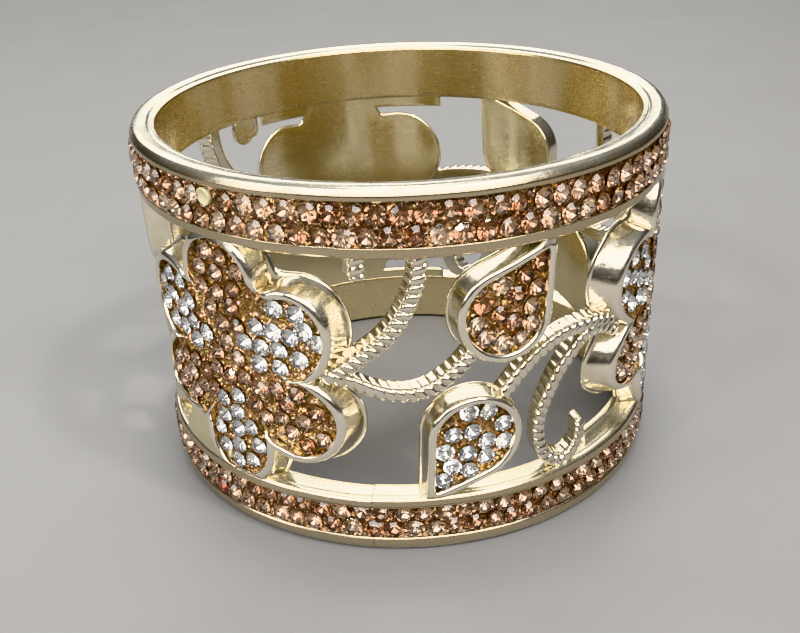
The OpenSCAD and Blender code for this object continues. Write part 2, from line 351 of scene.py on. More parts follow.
def add_piece(name, shapes, material, replaces, tint=None):
    """One mesh object from several shells, in metres, riding on the root. Stones have a tint for each point
    and flat facets."""
    vertices, faces, start = [], [], 0
    for points, polygons in shapes:
        vertices.append(points)
        faces += [[v + start for v in f] for f in polygons] if start else polygons
        start += len(points)
    mesh = bpy.data.meshes.new(name)
    mesh.from_pydata(np.concatenate(vertices) * MM, [], faces)
    mesh.polygons.foreach_set("use_smooth", [tint is None] * len(mesh.polygons))
    for m in np.atleast_1d(material):
        mesh.materials.append(m)
    if tint is not None:
        layer = mesh.attributes.new("tint", "FLOAT", "POINT")
        layer.data.foreach_set("value", tint)
    mesh.update()
    piece = new_object(name, mesh)
    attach(piece, "root")
    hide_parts(*replaces)
    return piece


# Rings


def ring_section(upper):
    """Section of a ring as (radius, distance from the bangle's end)."""
    bead, lip = BEAD_END[upper], LIP_START[upper]
    # Each corner: distance outwards from the inner wall, distance from the bangle's end, rounding
    fine_line = [(0.0, 0.66, 0.14), (0.1, 0.42, 0.1), (0.6, 0.3, 0.08), (0.8, 0.42, 0.05)]
    round_bead = [(1.05, 0.1, 0.16), (2.05, 0.0, 0.7), (2.65, 0.17, 0.7), (3.15, 0.95, 0.5),
                  (3.15, bead - 0.2, 0.12), (3.0, bead, 0.1)]
    channel = [(1.6, bead + 0.1, 0.05), (1.6, lip - 0.1, 0.05)]
    outer_lip = [(2.8, lip, 0.15), (3.25, lip + 0.06, 0.13), (3.12, lip + 0.34, 0.12),
                 (3.12, RING_H - 0.3, 0.15), (2.85, RING_H, 0.16)]
    ledge = [(2.3, RING_H, 0.03), (2.2, RING_H - 0.09, 0.03), (2.08, RING_H, 0.03), (0.0, RING_H, 0.05)]
    out, along, rounding = np.array(fine_line + round_bead + channel + outer_lip + ledge).T
    return rounded(np.stack([INNER_R + out, along], -1), rounding, 0.5)


def ring(upper):
    """A ring: its section carried once round the axis.

    Three sines round the ring make its outer parts waver a little. At the seam the ledge and the lip stand
    proud by a step that dies away as exp(-angle / 14), and a crack gapes as exp(-(angle / 0.09)^2).
    """
    seam = SEAM_AZ[upper] % 360
    a = np.concatenate([np.linspace(0, 360, 360, endpoint=False), seam + np.linspace(-0.5, 0.5, 21)])
    a = np.unique(a.round(2))
    before = (seam - a) % 360
    proud = 0.16 * np.exp(-before / 14) * smoothstep(-0.02, 0.06, before)
    crack = CRACK[upper] * np.exp(-(((a - seam) / 0.09) ** 2))
    r, t = ring_section(upper).T
    loose = smoothstep(INNER_R, INNER_R + 1.5, r)
    lip = smoothstep(INNER_R + 2.0, INNER_R + 2.6, r)
    ledge = smoothstep(5.5, 7.2, t)
    az = np.radians(a)[:, None]
    sway = 0.02 * np.sin(3 * az + 1) + 0.014 * np.sin(11 * az + r * 2) + 0.01 * np.sin(27 * az + t)
    radius = r + loose * (sway - 0.1 * crack[:, None]) - 0.4 * lip * ledge * proud[:, None]
    from_end = t - ledge * (0.12 * crack + 0.9 * proud)[:, None] + 0.014 * loose * np.sin(9 * az)
    from_end = np.clip(from_end, 0, None)
    return shell(around(az, radius, HEIGHT - from_end if upper else from_end), True)


# Cups


def petal_path(inset, end_before, end_after):
    """Edge of a petal, inset from its outside, as (along the petal, sideways).

    It comes out along one ridge, goes round the end on a circle and back in along the other ridge. The
    ridges lie half a petal to either side and end at the given distances from the flower's middle. Towards
    a ridge the wall thins out and leans against it.
    """
    inset = np.asarray(inset, float)[..., None]
    phi = np.linspace(-PETAL_TURN, PETAL_TURN, 95)
    x = PETAL_REACH + (PETAL_R - inset) * np.cos(np.radians(phi))
    y = (PETAL_R - inset) * np.abs(np.sin(np.radians(phi)))
    out = circle(math.radians(HALF_PETAL))
    along, beside = x * out[0] + y * out[1], y * out[0] - x * out[1]
    ridge = RIDGE_W * (0.15 - 0.5 * inset / RIM)
    beside = beside + (ridge - beside) * smoothstep(PETAL_THIN, PETAL_TURN, np.abs(phi))
    x, y = along * out[0] - beside * out[1], along * out[1] + beside * out[0]
    arc = np.stack([x, y * np.sign(phi)], -1)
    start = np.hypot(arc[0, 0, 0], arc[0, 0, 1])
    slide = np.linspace(0, 1, 14)[1:, None]
    tail = arc[:, -1:] - slide * (start - end_after) * out
    head = (arc[:, :1] - slide * (start - end_before) * out * [1, -1])[:, ::-1]
    return np.concatenate([head, arc, tail], 1)


def flower_outline(inset, notch):
    """The flower's outline, inset from its outside: along each angle the far side of the nearest petal's
    circle. Its notches are softly filled: the 24th root of the sum of both radii's 24th powers."""
    angle = np.arange(0, 360, 1.0)
    off = np.radians(angle % (2 * HALF_PETAL) - HALF_PETAL)
    chord = (PETAL_R - inset) ** 2 - (PETAL_REACH * np.sin(off)) ** 2
    edge = PETAL_REACH * np.cos(off) + np.sqrt(np.clip(chord, 0, None))
    edge = (edge[:, None] ** 24 + notch ** 24) ** (1 / 24)
    return edge * circle(np.radians(angle))


def leaf_path(way, inset):
    """Edge of a leaf: a circle from one side round to the other, then straight to a softened tip and back."""
    inset = np.asarray(inset, float)[..., None, None]
    length = np.linalg.norm(LEAF_TIP)
    tip = LEAF_TIP * (length - TIP_STEP * inset) / length
    arc = (LEAF_R - inset) * circle(np.radians(np.linspace(*LEAF_ARC, 100)))
    start, end = arc[..., :1, :], arc[..., -1:, :]
    k = np.linspace(0, 1, 26)[1:, None]
    near, far = tip + (end - tip) * 0.07, tip + (start - tip) * 0.07
    b = np.linspace(0, 1, 8)[1:, None]
    bend = near * (1 - b) ** 2 + 2 * tip * b * (1 - b) + far * b ** 2
    return way * np.concatenate([arc, end + (near - end) * k, bend, far + (start - far) * k[:-1]], -2)


def wall_section():
    """Section of a cup's wall as (inset from the outside, radius): it narrows a little towards its rounded
    rim."""
    foot = INNER_R + 0.25
    corners = [(-0.12, foot), (0.0, CUP_R), (RIM, CUP_R - 0.04), (RIM + 0.06, foot)]
    return rounded(corners, [0.02, 0.5, 0.46, 0.02], 0.7)


def tucked(z, r):
    """Next to a ring the cups dip under the ring's lip."""
    clear = smoothstep(RING_H - 0.5, RING_H + 0.7, z) * smoothstep(RING_H - 0.5, RING_H + 0.7, HEIGHT - z)
    return np.minimum(r, UNDER_LIP_R + (CUP_R - UNDER_LIP_R) * clear)


def settled(x, z):
    """A flat place of a flower, moved to where the cast flowers have it: the upper right petal is a little
    narrower on its right, and the lower left petal a little shorter below."""
    narrow = 0.16 * np.clip(x - 9, 0, None) * smoothstep(MID_Z - 2, MID_Z + 3, z)
    return x - narrow, z + 1.5 * smoothstep(18, 12, z) * smoothstep(-5, -8, x)


def drafted(side, x, z, r):
    """A flat place of a flower's cup, moved up or down from the flower's middle the more, the further back
    it lies."""
    x, z = settled(x, z)
    back = (CUP_R - r) / (CUP_R - INNER_R)
    return place(FLOWERS[side], x, MID_Z + (z - MID_Z) * (1 + DRAFT[side] * back), r)


def back_plate(where, outline, middle_z, put=place):
    """The thin back of a motif: a slab with a rounded edge, flush with the inner wall."""
    def at(radius, edge):
        return lambda p, k: put(where, p[..., 0], middle_z + p[..., 1],
                                radius + edge * smoothstep(0.975, 1, k))

    return lid(outline, at(INNER_R + 0.02, 0.2), at(PLATE_R, -0.3), 10, 8)


def web(azimuth, right, free_z):
    """A low web along a ring: a rounded bar bent to the wall, from the ring to its free edge."""
    hidden_z = HEIGHT - RING_H + 0.2 if free_z > MID_Z else RING_H - 0.2
    back, face = INNER_R + 0.03, INNER_R + 1.0
    corners = [(hidden_z, back), (free_z, back), (free_z, face), (hidden_z, face + 0.15)]
    section = rounded(corners, [0.05, 0.2, 0.3, 0.05], 0.3)
    x = np.linspace(WEB_LEFT, right, 40)[:, None]
    return shell(place(azimuth, x, section[:, 0], section[:, 1]))


def slope(azimuth):
    """The smooth slope from the front flower's lower left petals down to the lower ring: it stands out as the
    square of the fraction that is left of its height."""
    left, right, foot, top, back = -13.4, -2.6, 7.55, 14.45, INNER_R + 0.2
    up = np.linspace(0, 1, 24)
    face = np.stack([foot + (top - foot) * up, BED_R + 1.85 * (1 - up) ** 2], -1)
    section = np.concatenate([face, [[top, back], [foot, back]]])
    x = np.linspace(left, right, 60)[:, None]
    return shell(place(azimuth, x, section[:, 0], section[:, 1]))


def petal_wall(side, turn):
    """The wall's section carried along a petal's edge. Its ends sink slowly under the paste between the
    petals."""
    section = wall_section()
    ends = [RIDGE_ENDS[(turn + off) % 360] for off in (-HALF_PETAL, HALF_PETAL)]
    path = petal_path(section[:, 0], *ends)
    x, z = turned(path[..., 0], path[..., 1], turn)
    reach = np.hypot(x, z)
    z = MID_Z + z
    r = np.broadcast_to(section[:, 1][:, None], x.shape)
    end = np.where(np.arange(path.shape[1]) < path.shape[1] // 2, *ends)
    sunk = np.maximum(r - 1.6 * smoothstep(end + 3.6, end + 0.4, reach), INNER_R + 1.0)
    r = np.where(r > INNER_R + 1.5, sunk, r)
    points = drafted(side, x, z, tucked(z, r) + waver(x, z, r, turn))
    return shell(points.transpose(1, 0, 2))


def flower_cup(side):
    """Back plate of the flower, its webs and the six petals' walls."""
    azimuth = FLOWERS[side]
    backing = [back_plate(side, flower_outline(-FLANGE, NOTCH_R)[::2], MID_Z, drafted),
               web(azimuth, UPPER_WEB_RIGHT, UPPER_WEB_Z[side]), web(azimuth, LOWER_WEB_RIGHT, LOWER_WEB_Z)]
    return backing + [petal_wall(side, turn) for turn in range(30, 390, 60)]


def leaf_middle(way):
    """Height of the middle of a leaf's round end. way is 1 for a peach leaf and -1 for a clear one."""
    return MID_Z + way * LEAF_RISE


def leaf_cup(azimuth, way):
    """Back plate of a leaf and its wall, carried all the way round."""
    section = wall_section()
    path = leaf_path(way, section[:, 0])
    x, z = path[..., 0], leaf_middle(way) + path[..., 1]
    r = np.broadcast_to(section[:, 1][:, None], x.shape)
    wall = shell(place(azimuth, x, z, tucked(z, r) + waver(x, z, r, way)), True)
    return [back_plate(azimuth, leaf_path(way, -FLANGE), leaf_middle(way)), wall]


# Vines


def smooth_path(points, n):
    """n places evenly along the Catmull-Rom curve through points, and its length."""
    p = np.asarray(points, float)
    p = np.concatenate([[2 * p[0] - p[1]], p, [2 * p[-1] - p[-2]]])
    t = np.linspace(0, 1, 40, endpoint=False)[:, None]
    parts = [
        0.5 * (2 * b + (c - a) * t + (2 * a - 5 * b + 4 * c - d) * t ** 2 + (3 * b - a - 3 * c + d) * t ** 3)
        for a, b, c, d in zip(p[:-3], p[1:-2], p[2:-1], p[3:])
    ]
    dense = np.concatenate(parts + [p[-2:-1]])
    s = np.concatenate([[0], np.cumsum(np.linalg.norm(np.diff(dense, axis=0), axis=1))])
    even = np.linspace(0, s[-1], n)
    return np.stack([np.interp(even, s, dense[:, k]) for k in range(2)], -1), s[-1]


def rope_section():
    """Section of a rope as (across, radius): a deep rib with a well rounded face."""
    w = ROPE_W / 2
    corners = [(-w, ROPE_BACK_R), (-w, ROPE_FACE_R), (w, ROPE_FACE_R), (w, ROPE_BACK_R)]
    return rounded(corners, [0.1, 0.6, 0.6, 0.1], 0.4)


def vine(points, middle, flip=1, round_end=False):
    """A roped rib: its section carried along the path and pinched to a narrow crease at every turn of the
    rope.

    Points are (azimuth, height). Between creases the ridge swells as the root of 1 - u^3, with u from 0 to
    1. The crease runs round the face and less deep down both sides, leans across the face as the strands of
    a twisted rope do, and fades at the inner wall.
    """
    azimuth, z = np.asarray(points, float).T
    flat = np.stack([ROPE_FACE_R * np.sin(np.radians(azimuth - middle)), z], -1)
    length = np.linalg.norm(np.diff(flat, axis=0), axis=1).sum()
    path, length = smooth_path(flat, int(length / RIB * RIB_STEPS))
    heading = unit(np.gradient(path, axis=0))
    aside = np.stack([-heading[:, 1], heading[:, 0]], -1)
    w = ROPE_W / 2
    across, radius = rope_section().T
    s = np.linspace(0, length, len(path))[:, None]
    phase = (s / RIB + LEAN * across / w * flip) % 1
    crease = CREASE * (1 - np.sqrt(1 - np.abs(2 * phase - 1) ** 3))
    crease = crease * smoothstep(INNER_R + 0.5, INNER_R + 1.1, radius)
    left = np.clip((length - s) / w, 0, 1) if round_end else 1
    end = np.sqrt(np.clip(1 - (1 - left) ** 2, 0.01, 1))
    width = across * (1 - SIDE_SHARE * crease / w) * end
    pinch = crease * smoothstep(INNER_R + 1.7, INNER_R + 2.5, radius)
    r = radius - pinch - (1 - end) * np.clip(radius - INNER_R - 2, 0, None)
    x = path[:, :1] + aside[:, :1] * width
    z = path[:, 1:] + aside[:, 1:] * width
    return shell(place(middle, x, z, r))


def hook_foot(azimuth):
    """The oval pad on the inner wall that the back span's short hooked end stands on."""
    half_sizes, aside, middle_z = [1.9, 2.1], [0.6, 0], 36.5
    a = np.linspace(0, math.tau, 60, endpoint=False)
    return back_plate(azimuth, circle(a) * half_sizes + aside, middle_z)


def vines(side):
    """The five ropes between a flower and the next, stretched to the leaves as in the part's source."""
    before, after = FLOWERS[side], NEXT[side]
    middle = (before + after) / 2
    near, own = before + TO_PEACH_LEAF[0][0], before + TO_PEACH_LEAF[-1][0]
    stretch = (after - PEACH_LEAF_TURN - ROPE_STOP - near) / (own - near)
    start, own_turn = after - TO_CLEAR_LEAF[0][0], TO_CLEAR_LEAF[-1][0] - TO_CLEAR_LEAF[0][0]
    stretch_clear = (start - (before + CLEAR_LEAF_TURN + ROPE_STOP)) / own_turn
    climb = [[before + a + CLIMB_SHIFT[side] * smoothstep(26, 33, z), z] for a, z in CLIMBING]
    to_peach = [[near + (a - TO_PEACH_LEAF[0][0]) * stretch, z] for a, z in TO_PEACH_LEAF]
    to_clear = [[start - (a - TO_CLEAR_LEAF[0][0]) * stretch_clear, z] for a, z in TO_CLEAR_LEAF]
    return [
        vine(climb, middle),
        vine([[before + a, z] for a, z in HOOKED], middle, round_end=True),
        vine(to_peach, middle),
        vine(to_clear, middle, -1),
        vine([[after - a, z] for a, z in FALLING], middle, -1, round_end=True),
    ]


# Paste


def crumbs(points, size, height, seed):
    """Rough crumbly rise: soft lumps at three sizes."""
    return height * (0.5 * lumps(points, size, seed) + 0.3 * lumps(points, size / 2.3, seed + 3)
                     + 0.2 * lumps(points, size / 5, seed + 5))


def press(points, stones, size):
    """The paste's face, banked up to the edge of each stone and pressed straight in to just behind its foil.

    Stones are rows of azimuth, height and radius. A bank falls away from the stone's edge as
    exp(-(distance / BANK_W)^2).
    """
    azimuth = np.arctan2(points[..., 0], -points[..., 1])
    r = np.hypot(points[..., 0], points[..., 1])
    turn = (azimuth[..., None] - np.radians(stones[:, 0]) + math.pi) % math.tau - math.pi
    away = np.hypot(turn * MEASURE_R, points[..., 2:] - stones[:, 1])
    edge, near = stones[np.argmin(away, axis=-1), 2], away.min(axis=-1)
    climb = BANK * np.clip(edge - BANK_DROP - r, 0, None)
    banked = r + climb * np.exp(-((near - size) / BANK_W) ** 2)
    behind = edge - FOIL_DEPTH * size + FOIL_SLOPE * near - BEHIND_FOIL
    new = np.where(near < size, np.minimum(banked, behind), banked)
    return points * np.stack([new / r, new / r, np.ones_like(r)], -1)


def band_paste(upper):
    """The paste in a ring's channel: a strip with a crumbly face, closed behind, carried round the axis."""
    start, end, rows = 1.5, 6.65, 28
    t = np.concatenate([np.linspace(start, end, rows), [end, start]])
    r = np.concatenate([np.full(rows, BAND_PASTE_R), [BAND_BED_R, BAND_BED_R]])
    face = np.concatenate([[0], np.ones(rows - 2), [0, 0, 0]])
    a = np.radians(np.linspace(0, 360, 960, endpoint=False))[:, None]
    z = HEIGHT - t if upper else t
    rise = crumbs(around(a, INNER_R + 2.5, z), BAND_CRUMB, BAND_CRUMB_RISE, 1.0 + upper)
    points = around(a, r + face * rise, z)
    pressed = press(points, np.stack(band_places(upper)[:3], -1), BAND_STONE_R)
    return shell(np.where(face[:, None] > 0, pressed, points), True)


def banks(x, z):
    """Rise of the paste over the ridges: a rounded bank along each, which sinks towards the flower's middle.
    It falls away as exp(-(distance / RIDGE_BANK_W)^2) from the ridge."""
    reach, angle = np.hypot(x, z), np.arctan2(z, x)
    rise = np.zeros_like(x)
    for ridge, end in RIDGE_ENDS.items():
        off = angle - math.radians(ridge)
        bank = np.exp(-(reach * np.sin(off) / RIDGE_BANK_W) ** 2) * (np.cos(off) > 0)
        rise += RIDGE_BANK * bank * smoothstep(end - 0.8, end + 2.2, reach)
    return rise


def filling(azimuth, outline, middle_z, radius, places, rings, move=lambda x, z: (x, z)):
    """The paste in a motif: a crumbly face at the radius given for its flat places, pressed in under the
    stones, and a plain bed."""
    def face(p, k):
        x, z = p[..., 0], middle_z + p[..., 1]
        points = place(azimuth, *move(x, z), tucked(z, radius(p)))
        return press(points, seats(azimuth, places), STONE_R)

    def bed(p, k):
        return place(azimuth, *move(p[..., 0], middle_z + p[..., 1]), BED_R)

    return lid(outline, bed, face, 4, rings)


def flower_paste(azimuth, places):
    """The paste in a flower, banked up over the ridges. It stands 0.12 higher in the middle, and sinks from
    there as a cosine."""
    def radius(p):
        x, z = p[..., 0], p[..., 1]
        middle = 0.12 * np.cos(np.clip(np.hypot(x, z) / 4, 0, math.pi))
        flat = np.stack([x, z, np.full_like(x, azimuth)], -1)
        return FLOWER_PASTE_R + middle + banks(x, z) + crumbs(flat, CRUMB, CRUMB_RISE, azimuth)

    return filling(azimuth, flower_outline(PASTE_INSET, PASTE_NOTCH_R), MID_Z, radius, places, 66, settled)


def leaf_paste(azimuth, way, places):
    """The paste in a leaf, level but for its crumbs."""
    def radius(p):
        x, z = p[..., 0], leaf_middle(way) + p[..., 1]
        flat = np.stack([x, z, np.full_like(x, azimuth)], -1)
        return LEAF_PASTE_R + crumbs(flat, CRUMB, CRUMB_RISE, azimuth + way)

    return filling(azimuth, leaf_path(way, PASTE_INSET), leaf_middle(way), radius, places, 40)


# Stones


def cut_stone():
    """A foil-backed round stone of radius 1: a table, eight crown facets and eight foil facets.

    The girdle's points lie at every 22.5 degrees, alternately at the heights where the flat crown facets
    meet the flat foil facets. Returns its points, its crown faces and its foil faces.
    """
    corners, middles = np.radians(np.arange(8) * 45), np.radians(np.arange(8) * 45 + 22.5)
    rings = [(corners, TABLE_R, TABLE_H), (corners, 1.0, CORNER_H), (middles, 1.0, MIDDLE_H)]
    points = [np.stack([r * np.cos(a), r * np.sin(a), np.full(8, h)], -1) for a, r, h in rings]
    points = np.concatenate(points + [[[0, 0, -FOIL_DEPTH]]])
    crown = [list(range(8))] + [[k, 8 + k, 16 + k, 8 + (k + 1) % 8, (k + 1) % 8] for k in range(8)]
    foil = [[16 + k, 8 + k, 16 + (k - 1) % 8, 24] for k in range(8)]
    return points, crown, foil


def set_stones(azimuth, z, r, size, tilt, seed, red=()):
    """Copies of the cut stone, each with its girdle at radius r, turned at random and tilted a little.

    A stone's own axes are the direction along the ring, up and its outward direction, which leans by tilt
    degrees or so. Returns the points, the faces, each face's material number and each point's tint. The
    stones whose numbers are in red have the tint of the odd colour.
    """
    n = len(z)
    points, crown, foil = cut_stone()
    rand = np.random.default_rng(seed)
    a = np.radians(azimuth)
    right = np.stack([np.cos(a), np.sin(a), np.zeros(n)], -1)
    up = np.array([0.0, 0.0, 1.0])
    lean = np.tan(np.radians(rand.normal(0, 1, (n, 2)) * tilt))
    out = unit(around(a, 1, 0) + right * lean[:, :1] + up * lean[:, 1:])
    right = unit(np.cross(up, out))
    up = np.cross(out, right)
    spin = rand.uniform(0, math.tau, n)[:, None]
    first = right * np.cos(spin) + up * np.sin(spin)
    second = up * np.cos(spin) - right * np.sin(spin)
    size = size * rand.uniform(0.95, 1.02, n)
    v = around(a, r, z)[:, None] + size[:, None, None] * (points @ np.stack([first, second, out], 1))
    faces = [[i + k * len(points) for i in f] for k in range(n) for f in crown + foil]
    kinds = ([0] * len(crown) + [1] * len(foil)) * n
    tint = rand.uniform(0, 0.8, n)
    tint[list(red)] = 1.0
    return v.reshape(-1, 3), faces, kinds, np.repeat(tint, len(points))


def stone_piece(name, stones, kind, replaces):
    """One piece of peach or clear stones, with glass crowns and foil backs."""
    points, faces, kinds, tint = stones
    materials = PEACH if kind == "peach" else CLEAR
    piece = add_piece(name, [(points, faces)], materials, replaces, tint)
    piece.data.polygons.foreach_set("material_index", kinds)


def band_places(upper):
    """Azimuths, heights and radii of a ring's two staggered rows of stones, and the numbers of red ones."""
    rand = np.random.default_rng(BAND_PLACE_SEED + upper)
    rows = []
    for row, t in enumerate(STONE_ROWS[upper]):
        even = (np.arange(BAND_STONES) + 0.5 * row) * 360 / BAND_STONES
        a = even + rand.normal(0, 0.18, BAND_STONES)
        rows.append((a, t + rand.normal(0, 0.08, BAND_STONES)))
    a, t = (np.concatenate(q) for q in zip(*rows))
    special = int(np.argmin(np.abs(a[:BAND_STONES] - (LOST_AZ if upper else RED_AZ) % 360)))
    r = BAND_GIRDLE_R + rand.normal(0, 0.03, len(a))
    if upper:
        a, t, r = (np.delete(q, special) for q in (a, HEIGHT - t, r))
    return a, t, r, () if upper else (special,)


def empty_seat():
    """The seat of the lost stone: a small dish, turned round its own axis, with a rim lower on one side."""
    a = np.radians(np.linspace(0, 360, 32, endpoint=False))[:, None]
    radius = np.array([0.05, 0.35, 0.65, 0.83, 0.92, 0.98, 1.0, 0.96, 0.05])
    height = np.array([-0.1, -0.1, -0.06, 0.06, 0.1, 0.03, -0.2, -0.7, -0.7])
    x, y = radius * np.cos(a), radius * np.sin(a)
    r = BAND_GIRDLE_R + 0.05 + height + 0.12 * y
    points = place(LOST_AZ, x, HEIGHT - STONE_ROWS[1][0] + y, r)
    return shell(points.transpose(1, 0, 2))


def seats(azimuth, places):
    """Azimuth, height and radius of stones at flat places of a motif."""
    x, z = np.asarray(places, float).T
    return np.stack([azimuth + np.degrees(np.arcsin(x / MEASURE_R)), z, np.full(len(x), GIRDLE_R)], -1)


def motif_stones(azimuth, places, seed):
    """Stones at flat places of a motif."""
    return set_stones(*seats(azimuth, places).T, STONE_R, 4, seed)


def petal_stones(places, degrees):
    """Places along and beside a petal that points at these degrees, as flat places of the flower."""
    x, z = turned(*np.asarray(places, float).T, degrees)
    return np.stack(settled(x, MID_Z + z), -1)


# Materials

COLOUR, NUMBER, VECTOR = "NodeSocketColor", "NodeSocketFloat", "NodeSocketVector"


def colour(r, g, b):
    """A colour with full alpha."""
    return (r, g, b, 1.0)


WHITE = colour(1.0, 1.0, 1.0)


def new_material(name):
    """A new material, its node tree and its shader's inputs."""
    material = bpy.data.materials.new(name)
    material.use_nodes = True
    tree = material.node_tree
    return material, tree, tree.nodes["Principled BSDF"].inputs


def feed(sockets, given):
    """Sets sockets by name or number, each to a value or to another node's output."""
    for key, value in given.items():
        if isinstance(value, bpy.types.NodeSocket):
            sockets[key].id_data.links.new(value, sockets[key])
        else:
            sockets[key].default_value = value


def node(tree, kind, given=None, **settings):
    """A shader node of a kind, with its settings and inputs."""
    n = tree.nodes.new("ShaderNode" + kind)
    for k, v in settings.items():
        setattr(n, k, v)
    feed(n.inputs, given or {})
    return n


def own_place(tree):
    """The place of a point in the object's own axes, in metres."""
    return node(tree, "TexCoord").outputs["Object"]


def noise(tree, where, scale, detail, roughness=0.5):
    """A noise's value, with scale features a metre and its number of finer layers."""
    given = {"Vector": where, "Scale": scale, "Detail": detail, "Roughness": roughness}
    return node(tree, "TexNoise", given).outputs["Fac"]


def stretched(tree, where, scale):
    """A place with each of its axes scaled by its own factor."""
    return node(tree, "Mapping", {"Vector": where, "Scale": scale}).outputs[0]


def ramp(tree, value, low, high, to_low=0.0, to_high=1.0):
    """to_low where value is at low, to_high where it is at high, and evenly between them."""
    given = {0: value, 1: low, 2: high, 3: to_low, 4: to_high}
    return node(tree, "MapRange", given).outputs[0]


def mixed(tree, share, first, second):
    """The first colour where share is 0, the second where it is 1, and their mix between."""
    return node(tree, "Mix", {0: share, 6: first, 7: second}, data_type="RGBA").outputs[2]


def maths(tree, operation, *values):
    """The outcome of an operation on numbers."""
    return node(tree, "Math", dict(enumerate(values)), operation=operation).outputs[0]


def vector_maths(tree, operation, *vectors, scale=1.0):
    """The outcome of an operation on vectors, which is a number for a length. scale is used by SCALE."""
    n = node(tree, "VectorMath", {**dict(enumerate(vectors)), 3: scale}, operation=operation)
    return n.outputs["Value" if operation == "LENGTH" else "Vector"]


def bumpy(tree, height, strength):
    """A normal bent by a relief, which stands out by 0.2 mm where its height is 1."""
    given = {"Height": height, "Strength": strength, "Distance": 0.2 * MM}
    return node(tree, "Bump", given).outputs[0]


def group(name, inputs, outputs):
    """An empty shader node group, with the kind of each of its inputs and outputs by name."""
    tree = bpy.data.node_groups.new(name, "ShaderNodeTree")
    for way, sockets in (("INPUT", inputs), ("OUTPUT", outputs)):
        for label, kind in sockets.items():
            tree.interface.new_socket(label, in_out=way, socket_type=kind)
    return tree, tree.nodes.new("NodeGroupInput").outputs, tree.nodes.new("NodeGroupOutput").inputs


def casting_group():
    """Hand-polished plating: soft clouds in the colour and sheen, fine scratches, a faintly uneven surface,
    a given tone inside the wrist hole and another on the outermost lips, which on the rings is painted
    shade for the dark floor that they mirror, and long swells up the inner wall."""
    inputs = {"Bright": COLOUR, "Warm": COLOUR, "Inside": COLOUR, "Outside": COLOUR, "Low": NUMBER,
              "High": NUMBER}
    outputs = {"Color": COLOUR, "Roughness": NUMBER, "Height": NUMBER}
    tree, given, out = group("polished_casting", inputs, outputs)
    where = own_place(tree)
    flat = vector_maths(tree, "MULTIPLY", where, (1.0, 1.0, 0.0))
    radius = vector_maths(tree, "LENGTH", flat)
    inside = ramp(tree, radius, (INNER_R + 0.3) * MM, (INNER_R + 0.08) * MM)
    # The outermost lips get their given tone; on the rings it is painted shade, the dark floor that they
    # mirror
    outside = ramp(tree, radius, (INNER_R + 2.7) * MM, (INNER_R + 3.1) * MM)
    clouds = ramp(tree, noise(tree, where, 260.0, 4.0, 0.6), 0.4, 0.68)
    tone = mixed(tree, clouds, given["Bright"], given["Warm"])
    tone = mixed(tree, inside, tone, given["Inside"])
    tone = mixed(tree, outside, tone, given["Outside"])
    scratches = noise(tree, stretched(tree, where, (300.0, 300.0, 5200.0)), 1.0, 5.0)
    worn = maths(tree, "MULTIPLY", scratches, noise(tree, where, 2400.0, 3.0))
    roughness = ramp(tree, worn, 0.16, 0.4, given["Low"], given["High"])
    swell = noise(tree, where, 180.0, 1.0)
    relief = maths(tree, "ADD", maths(tree, "MULTIPLY", scratches, 0.008), swell)
    streaks = noise(tree, stretched(tree, where, (150.0, 150.0, 9.0)), 1.0, 1.0)
    streaks = maths(tree, "MULTIPLY", streaks, inside)
    height = maths(tree, "MULTIPLY_ADD", streaks, 9.0, relief)
    feed(out, {"Color": tone, "Roughness": roughness, "Height": height})
    return tree


def metal(name, bright, warm, inside, outside, low, high, bump=0.16):
    """Plated metal: its bright and warm tones, its tones inside the wrist hole and on the outermost lips, the
    latter on the rings being painted shade for the dark floor that they mirror, the range of its roughness
    and the strength of its relief."""
    material, tree, shader = new_material(name)
    given = {"Bright": bright, "Warm": warm, "Inside": inside, "Outside": outside, "Low": low, "High": high}
    casting = node(tree, "Group", given, node_tree=CASTING).outputs
    feed(shader, {"Base Color": casting["Color"], "Metallic": 1.0, "Roughness": casting["Roughness"],
                  "Normal": bumpy(tree, casting["Height"], bump)})
    return material


def glitter_group():
    """Glitter flakes in resin: each small cell is a flake with its own slope and colour, or a patch of bare
    resin."""
    outputs = {"Base Color": COLOUR, "Metallic": NUMBER, "Roughness": NUMBER, "Normal": VECTOR}
    tree, given, out = group("glitter", {"Resin": COLOUR, "Flake": COLOUR}, outputs)
    where = own_place(tree)
    cell = node(tree, "TexVoronoi", {"Vector": where, "Scale": 4600.0}).outputs["Color"]
    parts = node(tree, "SeparateColor", {0: cell}).outputs
    is_flake = ramp(tree, parts[0], 0.5, 0.56)
    shade = ramp(tree, noise(tree, where, 700.0, 3.0), 0.3, 0.7, 0.55, 1.2)
    hue = vector_maths(tree, "MULTIPLY_ADD", cell, (0.35, 0.45, 0.6), (0.8, 0.75, 0.65))
    own = vector_maths(tree, "MULTIPLY", mixed(tree, is_flake, given["Resin"], given["Flake"]), hue)
    own = vector_maths(tree, "SCALE", own, scale=shade)
    centred = vector_maths(tree, "SUBTRACT", cell, (0.5, 0.5, 0.5))
    normal = node(tree, "NewGeometry").outputs["Normal"]
    leaning = vector_maths(tree, "ADD", normal, vector_maths(tree, "SCALE", centred, scale=1.1))
    roughness = ramp(tree, parts[1], 0.0, 1.0, 0.12, 0.4)
    unit_normal = vector_maths(tree, "NORMALIZE", leaning)
    feed(out, {"Base Color": own, "Metallic": is_flake, "Roughness": roughness, "Normal": unit_normal})
    return tree


def paste(name, resin, flake):
    """Resin full of glitter flakes, under a thin clear coat."""
    material, tree, shader = new_material(name)
    glitter = node(tree, "Group", {"Resin": resin, "Flake": flake}, node_tree=GLITTER).outputs
    feed(shader, dict(glitter.items()))
    feed(shader, {"Coat Weight": 0.35, "Coat Roughness": 0.15})
    return material


